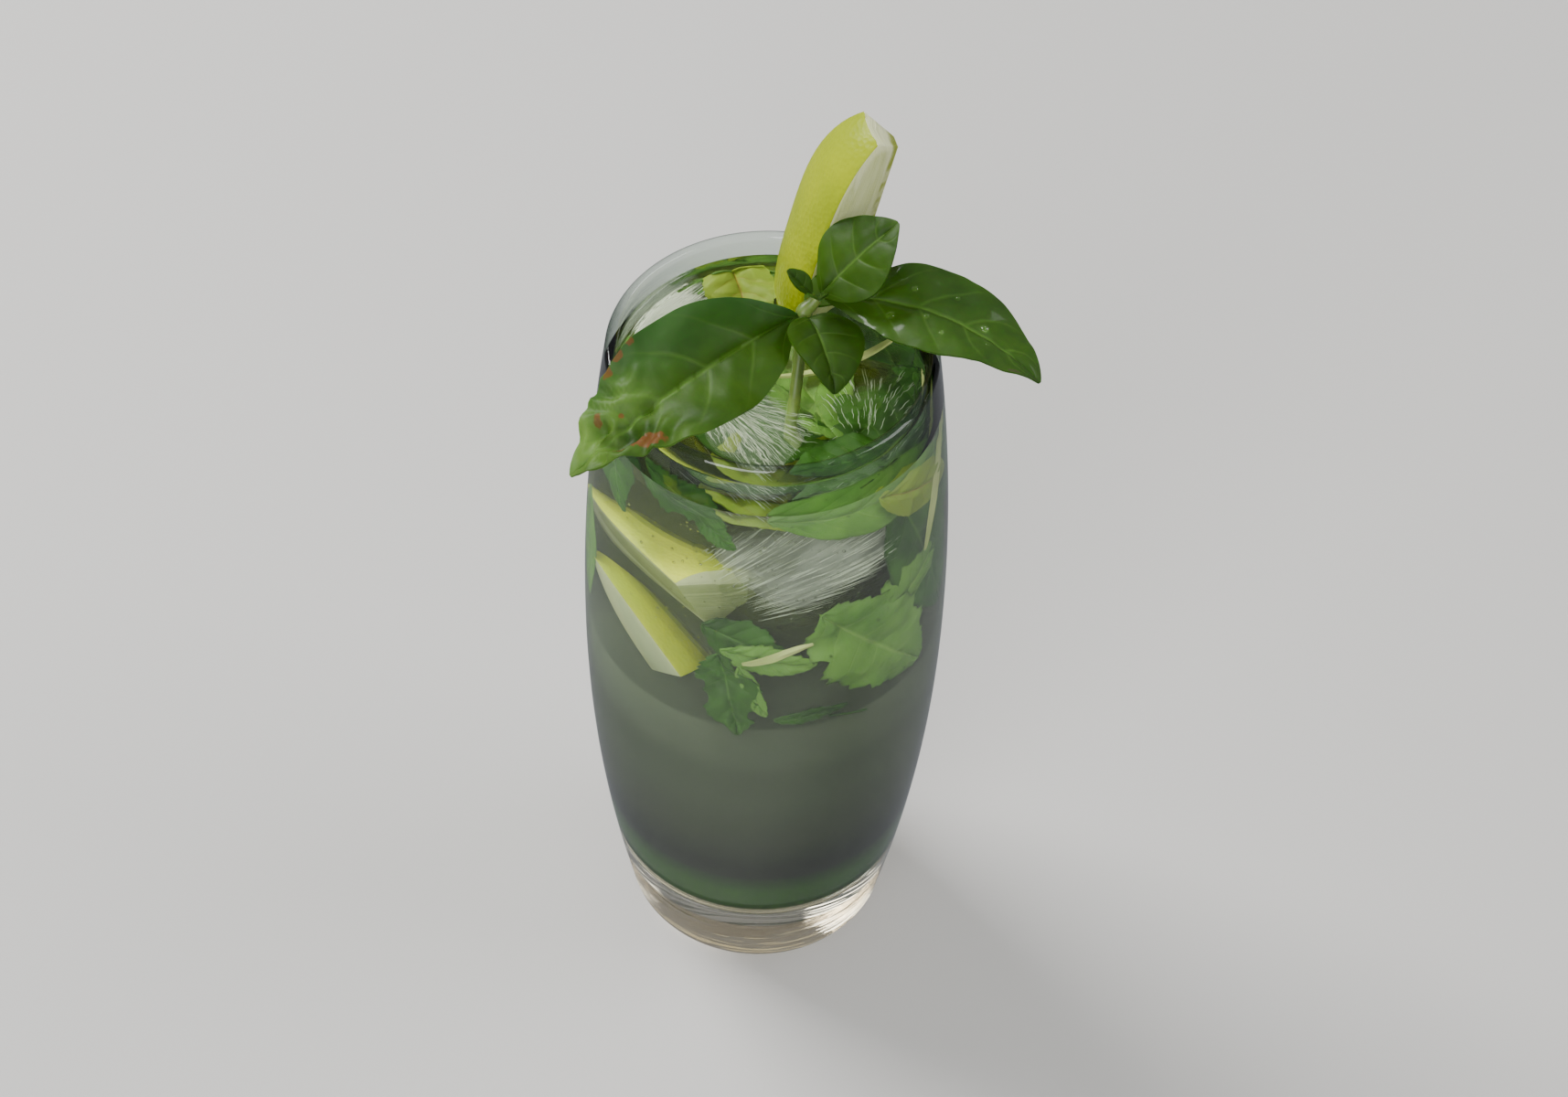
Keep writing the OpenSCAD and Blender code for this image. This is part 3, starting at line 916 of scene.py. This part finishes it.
class MOJITO_OT_lime(bpy.types.Operator):
    """Cut the lime wedge that stands in the glass"""
    bl_idname = "mojito.lime"
    bl_label = "Standing lime wedge"

    lean = 11.5
    lean_direction = 8.0
    facing = 197.0
    above_lip = 31.5
    rest_direction = 56.5

    def execute(self, context):
        own = settings("lime")
        cut = LimeCut(62.0, 16.0, 56.0, core_trim=2.5, high_cut=4.5, high_slope=31.0)
        rest_radius = RIM_RADIUS - WALL - 0.9
        rest = math.radians(self.rest_direction)
        matrix = (Matrix.Translation(Vector((rest_radius * math.cos(rest),
                                             rest_radius * math.sin(rest), GLASS_HEIGHT)) * MM)
                  @ Matrix.Rotation(math.radians(self.lean_direction), 4, "Z")
                  @ Matrix.Rotation(math.radians(self.lean), 4, "Y")
                  @ Matrix.Rotation(math.radians(self.facing - self.lean_direction), 4, "Z")
                  @ Matrix.Translation(Vector((-cut.core_trim, 0,
                                               self.above_lip + cut.high_cut - cut.length)) * MM))
        piece = lime_wedge("lime_standing", cut, matrix)
        finish_piece(piece, [rind_material("lime_rind_waxed", own.rind_colour, own.rind_deep, 0.05),
                             flesh_material("lime_flesh_cut", cut, own.flesh_colour, own.pith_colour,
                                            own.end_colour)],
                     math.radians(35), ["lime_wedge"])
        return {"FINISHED"}


class MOJITO_OT_sunk_limes(bpy.types.Operator):
    """Cut the lime wedges that are sunk behind the left wall"""
    bl_idname = "mojito.sunk_limes"
    bl_label = "Sunk lime wedges"

    def execute(self, context):
        own = settings("lime")
        # Middle of the crosswise cut on the core, direction from there to the pole, direction
        # that the rind faces, radius, half a lime's length, angle, colours of rind and flesh
        wedges = (("lime_sunk_upper", (-8.2, -22.6, 104.2), (-0.47, 0.88, -0.03),
                   (0.1, 0.1, 0.98), 15.2, 33.0, 76.0, own.sunk_rind_lit, own.sunk_flesh_shaded),
                  ("lime_sunk_lower", (-17.2, -14.9, 84.2), (-0.527, 0.363, 0.769),
                   (0.667, -0.383, 0.638), 12.9, 23.4, 64.0, own.sunk_rind, own.sunk_flesh))
        for name, middle, axis, facing, radius, half_length, angle, skin, inside in wedges:
            cut = LimeCut(2 * half_length, radius, angle, core_trim=1.2, low_cut=half_length,
                          bluntness=2.6)
            start = Vector(middle) - Vector(axis).normalized() * half_length
            piece = lime_wedge(name, cut, placed(axis, facing, start))
            rind = rind_material(name + "_rind", skin, own.rind_deep, 0.0)
            flesh = flesh_material(name + "_flesh", cut, inside, own.sunk_pith)
            finish_piece(piece, [rind, flesh], math.radians(35))
        return {"FINISHED"}


# ---- Ice and bubbles --------------------------------------------------------


def ice_material():
    """Home-made ice: clear, with soft melted faces that only show against the drink."""
    material, node = new_material("ice_melting_clear")
    place = node("TexCoord", output="Object")
    ripple = node("TexNoise", {"Vector": place, "Scale": 260.0, "Detail": 2.0})
    bump = node("Bump", {"Height": ripple, "Strength": 0.5, "Distance": 0.001})
    ice = node("BsdfPrincipled", {"Base Color": "#f4f8f2", "Roughness": 0.04, "IOR": ICE_IOR,
                                  "Transmission Weight": 1.0, "Normal": bump})
    node("OutputMaterial", clear_through(node, ice))
    return material


def air_material(name, colour, opacity):
    """Air trapped as the ice froze: white, soft and partly see-through."""
    material, node = new_material(name)
    node("OutputMaterial", cloudy(node, colour, opacity))
    return material


class IceCube:
    """An ice cube in millimetres: its place, its size along, across and up, the way its air
    threads run and the way its top faces, and the threads' number, length, spread and width."""

    def __init__(self, at, size, along, up, threads, length, spread, thick, cloud=0.0, wavy=0.0, seed=1):
        self.at, self.size, self.along, self.up = at, size, Vector(along), Vector(up)
        self.threads, self.length, self.spread, self.thick = threads, length, spread, thick
        self.cloud, self.wavy, self.seed = cloud, wavy, seed

    def matrix(self):
        """X along the threads, Z towards the cube's top."""
        x = self.along.normalized()
        z = (self.up - x * self.up.dot(x)).normalized()
        turn = Matrix((x, z.cross(x), z)).transposed().to_4x4()
        return Matrix.Translation(Vector(self.at) * MM) @ turn


ICE = (
    IceCube((-17.5, 14.5, 136.0), (22, 19, 13), (0.78, 0.62, 0.0), (0, 0, 1), 900, (3, 9), 0.35, 0.08,
            cloud=0.28, seed=3),
    IceCube((18.5, -3.0, 136.5), (15, 21, 13), (0.1, 1.0, 0.0), (0, 0, 1), 150, (1.2, 4.0), 0.9, 0.035,
            wavy=0.5, seed=5),
    IceCube((6.0, -14.5, 120.0), (29, 24, 19), (0.80, 0.15, 0.56), (0.1, -1.0, 0.2), 1300, (4, 12),
            0.28, 0.07, cloud=0.3, seed=7),
    IceCube((-2.5, -10.0, 137.0), (19, 16, 12), (0.72, -0.65, 0.1), (0, 0, 1), 620, (2, 6), 0.5, 0.03,
            cloud=0.1, wavy=0.25, seed=9),
    IceCube((6.0, 13.0, 132.0), (20, 18, 16), (0.3, 0.9, 0.2), (0, 0, 1), 90, (2, 6), 0.7, 0.08,
            wavy=0.3, seed=11),
)


class MOJITO_OT_ice(bpy.types.Operator):
    """Melt the ice cubes and draw out their threads of trapped air"""
    bl_idname = "mojito.ice"
    bl_label = "Ice"

    def execute(self, context):
        cubes, straight, wavy = [], [], []
        for ice in ICE:
            cubes.append(self.block(ice, 1.0, 0.2))
            if ice.cloud:
                cloud = self.block(ice, 0.8, 0.45)
                cloud.name = cloud.data.name = "ice_cloud_%d" % ice.seed
                finish_piece(cloud, air_material("air_cloud_%d" % ice.seed, "#e9ece2", ice.cloud),
                             math.radians(80))
            (wavy if ice.wavy else straight).extend(self.thread_places(ice))
        finish_piece(joined("ice_cubes", cubes), ice_material(), math.radians(80))
        white = air_material("air_threads", "#f0f3e6", 0.75)
        for name, places, bend in (("ice_threads", straight, 0.0), ("ice_threads_wavy", wavy, 0.35)):
            finish_piece(copies(name, self.thread(bend), places), white, math.radians(80))
        self.bubbles()
        return {"FINISHED"}

    bubble_count = 170
    # Radii in millimetres
    bubble_sizes = (0.12, 0.32)

    def bubbles(self):
        """Soda bubbles that cling to the front wall and rise between the leaves."""
        deselect()
        bpy.ops.mesh.primitive_ico_sphere_add(subdivisions=2, radius=MM)
        pick = random.Random(21)
        places = []
        for _ in range(self.bubble_count):
            height = pick.triangular(96, DRINK_LEVEL - 1, 132)
            azimuth = math.radians(pick.gauss(-88, 34))
            reach = inside_radius(height) - 0.9 - abs(pick.gauss(0, 2.0))
            at = Vector((reach * math.cos(azimuth), reach * math.sin(azimuth), height))
            places.append(Matrix.Translation(at * MM) @ Matrix.Scale(pick.uniform(*self.bubble_sizes), 4))
        piece = copies("soda_bubbles", bpy.context.object, places)
        finish_piece(piece, clear_body("soda_bubbles_air", "#ffffff", AIR_IOR))

    def block(self, ice, share, roundness):
        """A cube whose corners melt away, kept inside the glass."""
        deselect()
        bpy.ops.mesh.primitive_cube_add(size=1)
        block = bpy.context.object
        block.data.transform(Matrix.Diagonal((*[s * share * MM for s in ice.size], 1)))
        apply_modifier(block, "BEVEL", width=min(ice.size) * share * roundness * MM, segments=4)
        edit_all()
        bpy.ops.mesh.subdivide(number_cuts=4)
        bpy.ops.object.mode_set(mode="OBJECT")
        matrix = ice.matrix()
        for vertex in block.data.vertices:
            spot = vertex.co / MM
            melt = noise.noise(spot * 0.12 + Vector((ice.seed, 0, 0))) * 1.6
            melt += noise.noise(spot * 0.35 + Vector((0, ice.seed, 0))) * 0.5
            place = matrix @ (vertex.co + vertex.co.normalized() * melt * MM)
            vertex.co = kept_inside(place / MM, 1.2 + (1 - share) * 4) * MM
        return block

    def thread(self, bend):
        """One air thread a unit long on Z, a four-sided tube with pointed ends."""
        deselect()
        bpy.ops.mesh.primitive_cylinder_add(vertices=4, radius=1.0, depth=1.0, end_fill_type="NGON")
        thread = bpy.context.object
        bpy.ops.object.mode_set(mode="EDIT")
        cuts = 5 if bend else 1
        for cut in range(1, cuts + 1):
            bpy.ops.mesh.select_all(action="SELECT")
            bpy.ops.mesh.bisect(plane_co=(0, 0, cut / (cuts + 1) - 0.5), plane_no=(0, 0, 1))
        bpy.ops.object.mode_set(mode="OBJECT")
        for vertex in thread.data.vertices:
            taper = 0.25 + 0.75 * math.cos(math.pi * vertex.co.z) ** 0.5 if abs(vertex.co.z) < 0.49 else 0.25
            vertex.co.x = vertex.co.x * taper + (math.sin(vertex.co.z * 9) * 5.0 * bend)
            vertex.co.y = vertex.co.y * taper + (math.cos(vertex.co.z * 7) * 3.0 * bend)
        return thread

    def thread_places(self, ice):
        """Threads that spread from one end of the cube to the other, as trapped air does."""
        pick = random.Random(ice.seed)
        matrix = ice.matrix()
        half = [s / 2 - 1.0 for s in ice.size]
        places = []
        for _ in range(ice.threads):
            across, up = pick.uniform(-1, 1), pick.uniform(-1, 1)
            start = Vector((pick.uniform(-1, 0.8) * half[0], across * half[1] * 0.75, up * half[2] * 0.9))
            way = Vector((1, across * ice.spread + pick.gauss(0, 0.04),
                          up * ice.spread * 0.5 + pick.gauss(0, 0.04)))
            end = start + way.normalized() * pick.uniform(*ice.length)
            if max(abs(end.x) / half[0], abs(end.y) / half[1], abs(end.z) / half[2]) > 1.05:
                continue
            start, end = (kept_inside((matrix @ (p * MM)) / MM, 1.8) for p in (start, end))
            span = end - start
            if span.length < 0.5:
                continue
            turn = span.to_track_quat("Z", "Y").to_matrix().to_4x4()
            thick = ice.thick * pick.uniform(0.5, 1.4)
            places.append(Matrix.Translation((start + end) / 2 * MM) @ turn
                          @ Matrix.Diagonal((thick * MM, thick * MM, span.length * MM, 1)))
        return places


# ---- Sunk leaves ------------------------------------------------------------


class WallLeaf:
    """A leaf that floats flat behind the wall. Lengths in millimetres, angles in degrees.

    Its middle is at an azimuth and a height. Turn is the way from stem end to tip as seen from
    outside: 0 to the right, 90 up.
    """

    def __init__(self, azimuth, height, turn, length, width, depth=1.2, lean=0.0, curl=0.0,
                 veins=6, quilt=0.35, wave=0.8, teeth=0.5, ragged=0.0, fullness=0.9, seed=1):
        self.azimuth, self.height, self.turn = azimuth, height, math.radians(turn)
        self.length, self.width, self.depth, self.lean, self.curl = length, width, depth, lean, curl
        self.veins, self.quilt, self.wave = veins, quilt, wave
        self.teeth, self.ragged, self.fullness, self.seed = teeth, ragged, fullness, seed

    def point(self, across, share):
        out = abs(across)
        half = 0.3 + (self.width / 2 - 0.3) * math.sin(math.pi * share ** self.fullness) ** 0.8
        saw = (share * self.length / 1.7) % 1.0
        half += self.teeth * (saw - 0.4) * out ** 8 * min(1.0, half / 2)
        edge = Vector((share * self.length * 0.35, math.copysign(3.0, across), self.seed * 5.1))
        half *= 1 - self.ragged * max(0.0, noise.noise(edge) + 0.25) * out ** 3
        along = (share - 0.5) * self.length
        side = across * half
        step = along * math.cos(self.turn) - side * math.sin(self.turn)
        rise = along * math.sin(self.turn) + side * math.cos(self.turn)
        z = self.height + rise
        phase = self.veins * (share - 0.2 * out)
        relief = self.quilt * quilting(phase, out, side)
        spot = Vector((side, along, self.seed * 7.3))
        relief += self.wave * (noise.noise(spot * 0.14) * 2 * (0.4 + out) + 0.4 * noise.noise(spot * 0.45))
        deep = self.depth + self.lean * across + self.curl * out * out - relief
        radius = inside_radius(min(z, DRINK_LEVEL)) - deep
        azimuth = math.radians(self.azimuth) + step / max(radius, 5.0)
        place = Vector((radius * math.cos(azimuth), radius * math.sin(azimuth), z))
        return kept_inside(place)


class FloatingPlan(LeafPlan):
    """A free leaf in the drink, kept inside the wall and under the surface."""

    def point(self, across, share):
        return kept_inside(super().point(across, share), 1.3)


class MOJITO_OT_sunk_leaves(bpy.types.Operator):
    """Crumple the mint and basil leaves that float in the drink"""
    bl_idname = "mojito.sunk_leaves"
    bl_label = "Sunk leaves"

    def execute(self, context):
        own = settings("leaf")
        mint = leaf_material("mint_blade_muddled", own.sunk_colour, own.sunk_deep, "#8fae5a", veins=6,
                             gloss=0.55, vein_strength=0.35, speckle="#2a3a12")
        # Dark finish: leaves that are darker green, and leaves given painted shade where the drink shades
        # them
        dark = leaf_material("mint_blade_dark", own.dark_colour, own.dark_deep, "#5f8a38", veins=6,
                             gloss=0.55, vein_strength=0.3, speckle="#141d08")
        pale = leaf_material("mint_blade_pale", own.pale_colour, "#6c7c24", "#8a5a34", veins=6,
                             gloss=0.55, vein_strength=0.5)
        strip = leaf_material("mint_stem_pale", "#b9c07a", "#8f9a55", "#d8dca8", veins=2,
                              gloss=0.5, vein_strength=0.2)
        # Name, finish, azimuth, height, turn, length and width
        behind_wall = (
            ("mint_right", mint, -49, 98.5, -51, 35, 22, dict(depth=1.6, teeth=1.0, ragged=0.4, wave=1.2)),
            ("mint_right_upper", mint, -33, 107, 28, 20, 15, dict(depth=2.6, teeth=0.7, ragged=0.3)),
            ("dark_right", dark, -24, 112, -72, 44, 17, dict(depth=2.6, teeth=0.3, wave=0.6)),
            ("dark_right_high", dark, -8, 128, 75, 34, 18, dict(depth=2.8, teeth=0.3, wave=0.6)),
            ("stem_right", strip, -12, 131, 68, 38, 3.2, dict(depth=1.3, teeth=0.0, quilt=0.0, wave=0.2)),
            ("front_band", mint, -42, 134, -6, 44, 12, dict(depth=2.2, teeth=0.2, wave=0.6)),
            ("front_band_pale", pale, -27, 130, -30, 24, 10, dict(depth=1.4, teeth=0.2, wave=0.6)),
            ("left_top", dark, -160, 135, -60, 25, 16, dict(depth=1.8, teeth=0.4, wave=0.8)),
            ("left_frond", dark, -122, 136.5, -14, 18, 8, dict(depth=1.4, teeth=0.9, ragged=0.5, wave=0.9)),
            ("left_frond_tip", dark, -108, 131.5, -40, 9, 4.5, dict(depth=2.0, teeth=0.6, ragged=0.3)),
            ("left_thin", mint, 190, 104, -84, 26, 8, dict(depth=1.2, teeth=0.2, wave=0.4)),
            ("dark_middle", dark, -97, 104, -20, 15, 12, dict(depth=4.0, teeth=0.6, ragged=0.3, wave=1.0)),
            ("mid_green", mint, -88, 101, -14, 17, 7, dict(depth=2.0, teeth=0.5, ragged=0.3, wave=0.9)),
            ("ragged", dark, -101, 91.5, -80, 22, 12, dict(depth=1.7, teeth=0.9, ragged=0.9, wave=1.3)),
            ("ragged_fold", mint, -93, 93, -70, 14, 4.5, dict(depth=1.2, teeth=0.5, ragged=0.5, wave=0.9)),
            ("leaflet", dark, -73, 85.6, 4, 13, 4.4, dict(depth=1.3, teeth=0.6, ragged=0.5, wave=0.5)),
            ("back_low", mint, 72, 108, 20, 30, 18, dict(depth=1.6, teeth=0.8, ragged=0.3)),
            ("back_broad", dark, 108, 117, -35, 34, 18, dict(depth=1.3, teeth=0.4)),
            ("back_high", dark, 38, 122, 60, 28, 15, dict(depth=1.5, teeth=0.5)),
            ("back_left", mint, 142, 103, -70, 30, 16, dict(depth=1.5, teeth=0.8, ragged=0.3)),
            ("back_pale", pale, 88, 129, 8, 22, 11, dict(depth=1.8, teeth=0.3)),
            ("back_right", dark, 18, 101, -60, 24, 12, dict(depth=1.4, teeth=0.5)),
            ("back_upper", mint, 160, 124, 30, 26, 14, dict(depth=1.7, teeth=0.7, ragged=0.2)),
            ("thread", dark, -60, 83, -20, 8, 0.5, dict(depth=1.3, teeth=0.0, quilt=0.0, wave=0.6)),
            ("sliver", strip, -85, 103, 22, 13, 1.8, dict(depth=1.1, teeth=0.1, quilt=0.0, wave=0.4)),
        )
        for number, (name, material, azimuth, height, turn, length, width, more) in enumerate(behind_wall):
            plan = WallLeaf(azimuth, height, turn, length, width, seed=30 + number, **more)
            leaf("sunk_" + name, plan, material, thickness=0.3, along=64, across=20)
        # Name, finish, place of the stem end, size, heading rise and roll, their change
        floating = (
            ("yellow_back", pale, (-10.0, 31.0, 141.5), (22, 13), (-62, -3, 6), (-26, 0, 0)),
            ("green_back", mint, (-20.0, 24.0, 140.0), (26, 14), (20, -4, 12), (-20, 0, 0)),
            ("back_right", dark, (8.0, 24.0, 139.0), (26, 16), (-30, -4, -14), (-50, 0, 0)),
            ("under_left", dark, (-16.0, -2.0, 136.0), (30, 18), (-30, -6, 10), (30, 0, 0)),
            ("under_middle", mint, (-4.0, 12.0, 137.0), (28, 18), (-40, -4, -8), (-30, -4, 0)),
            ("under_right", dark, (24.0, 8.0, 136.0), (30, 18), (250, -6, 10), (-24, 0, 0)),
            ("under_front", pale, (-10.0, -14.0, 133.0), (28, 18), (-10, -6, 10), (30, 0, 0)),
            ("front_right", dark, (22.0, -12.0, 138.0), (20, 12), (215, -10, 20), (-30, 0, 0)),
        )
        for number, (name, material, start, size, aim, bend) in enumerate(floating):
            plan = FloatingPlan(start, size[0], size[1], aim, bend, 8, 0.9, veins=6, quilt=0.4,
                                wave=1.0, teeth=0.4, seed=60 + number)
            leaf("sunk_" + name, plan, material, thickness=0.3, along=56, across=20)
        # The pale edge of a leaf that curves at the surface
        plan = FloatingPlan((21.5, 9.5, 143.2), 24, 2.2, (226, -1, 30), (-40, 0, 0), 0, 0.8, quilt=0,
                            wave=0.1, seed=80)
        leaf("sunk_pale_edge", plan, strip, thickness=0.5, along=48, across=6)
        return {"FINISHED"}


# ---- Stage ------------------------------------------------------------------


class MOJITO_OT_stage(bpy.types.Operator):
    """Set the pale floor, the soft lights and the camera"""
    bl_idname = "mojito.stage"
    bl_label = "Stage"

    look_at = Vector((3.3, 0.0, 96.4)) * MM
    middle = Vector((0.0, 0.0, 75.0)) * MM

    def execute(self, context):
        own = settings("studio")
        deselect()
        bpy.ops.mesh.primitive_plane_add(size=6.0, location=(0, 0, 0))
        floor = bpy.context.object
        floor.name = floor.data.name = "floor"
        # Matt painted board: it scatters light evenly
        material, node = new_material("floor_matt_board")
        node("OutputMaterial", node("BsdfPrincipled", {"Base Color": own.floor_colour,
                                                       "Roughness": 0.8}))
        floor.data.materials.append(material)
        floor.visible_glossy = False
        self.light("key", (-0.7, 0.55, 1.1), 0.6, own.key_power)
        self.light("fill", (0.95, 0.1, 0.9), 0.8, own.key_power * 0.3)
        self.light("front", (-0.35, -1.0, 0.8), 0.8, own.key_power * 0.5)
        world = bpy.data.worlds.new("soft_room")
        context.scene.world = world
        world.use_nodes = True
        sky = world.node_tree.nodes["Background"].inputs
        sky["Color"].default_value, sky["Strength"].default_value = linear("#c8ccd2"), 0.4
        self.camera(own)
        return {"FINISHED"}

    def light(self, name, place, size, power):
        bpy.ops.object.light_add(type="AREA", location=place)
        lamp = bpy.context.object
        lamp.name = name
        lamp.data.size = size
        lamp.data.energy = power
        lamp.rotation_euler = (self.middle - lamp.location).to_track_quat("-Z", "Y").to_euler()

    def camera(self, own):
        place = self.middle + Vector((0, -math.cos(own.elevation), math.sin(own.elevation))) * own.distance
        bpy.ops.object.camera_add(location=place)
        camera = bpy.context.object
        aim = (self.look_at - place).to_track_quat("-Z", "Y").to_matrix().to_4x4()
        turn = Matrix.Rotation(own.roll, 4, "Z")
        camera.matrix_world = Matrix.Translation(place) @ aim @ turn
        camera.data.lens = own.lens
        camera.data.sensor_width = 36.0
        camera.data.sensor_fit = "HORIZONTAL"
        bpy.context.scene.camera = camera


# ---- Panel and registration -------------------------------------------------


OPERATORS = (MOJITO_OT_glass, MOJITO_OT_drink, MOJITO_OT_lime, MOJITO_OT_sunk_limes, MOJITO_OT_ice,
             MOJITO_OT_sunk_leaves, MOJITO_OT_basil, MOJITO_OT_stage)
GROUPS = {"glass": MojitoGlassSettings, "lime": MojitoLimeSettings, "leaf": MojitoLeafSettings,
          "studio": MojitoStudioSettings}


class MOJITO_PT_panel(bpy.types.Panel):
    """Lists the mojito's settings and pieces"""
    bl_idname = "MOJITO_PT_panel"
    bl_label = "Mojito"
    bl_space_type = "VIEW_3D"
    bl_region_type = "UI"
    bl_category = "Mojito"

    def draw(self, context):
        for group, kind in GROUPS.items():
            box = self.layout.box()
            for name in kind.__annotations__:
                box.prop(getattr(context.scene, "mojito_" + group), name)
        for operator in OPERATORS:
            self.layout.operator(operator.bl_idname)


def register():
    for kind in (*GROUPS.values(), *OPERATORS, MOJITO_PT_panel):
        bpy.utils.register_class(kind)
    for group, kind in GROUPS.items():
        setattr(bpy.types.Scene, "mojito_" + group, bpy.props.PointerProperty(type=kind))


def unregister():
    for group in GROUPS:
        delattr(bpy.types.Scene, "mojito_" + group)
    for kind in reversed((*GROUPS.values(), *OPERATORS, MOJITO_PT_panel)):
        bpy.utils.unregister_class(kind)


def main():
    register()
    for step in ("glass", "drink", "lime", "sunk_limes", "ice", "sunk_leaves", "basil", "stage"):
        getattr(bpy.ops.mojito, step)()


if __name__ == "__main__":
    main()
